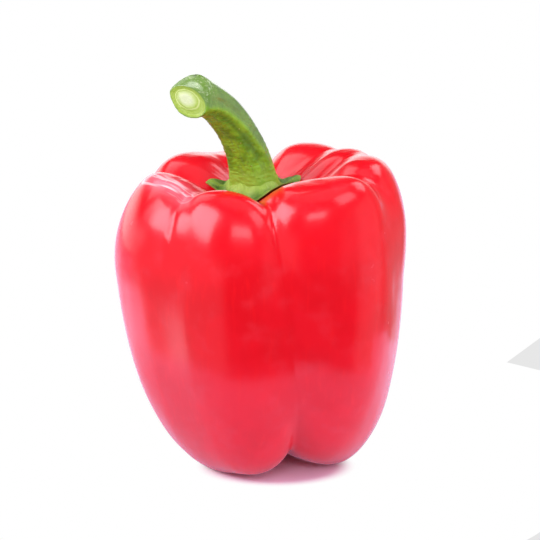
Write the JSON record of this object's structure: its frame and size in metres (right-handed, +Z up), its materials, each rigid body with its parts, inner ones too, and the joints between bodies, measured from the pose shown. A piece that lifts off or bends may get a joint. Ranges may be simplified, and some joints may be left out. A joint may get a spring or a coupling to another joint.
{
  "type": "bell pepper",
  "caption": "Whole red bell pepper with a blocky ridged fruit, a green calyx in the crown and a bent, cut stem; stands on its feet.",
  "frame": {"origin": "on the standing surface, under the middle of the whole pepper's box", "axes": "+Z up from the feet to the crown, -Y the front, towards which the stem's cut end leans, and +X to the right of the front"},
  "size_m": [0.0822, 0.0764, 0.1138],
  "materials": {
    "red_skin": "smooth waxy red skin, glossy",
    "calyx_green": "fresh green calyx, satin, finely grained",
    "stem_green": "olive green stalk, satin, with a pale cut end"
  },
  "bodies": {
    "root": {"fruit": "red_skin", "calyx": "calyx_green", "stem": "stem_green"}
  },
  "joints": []
}
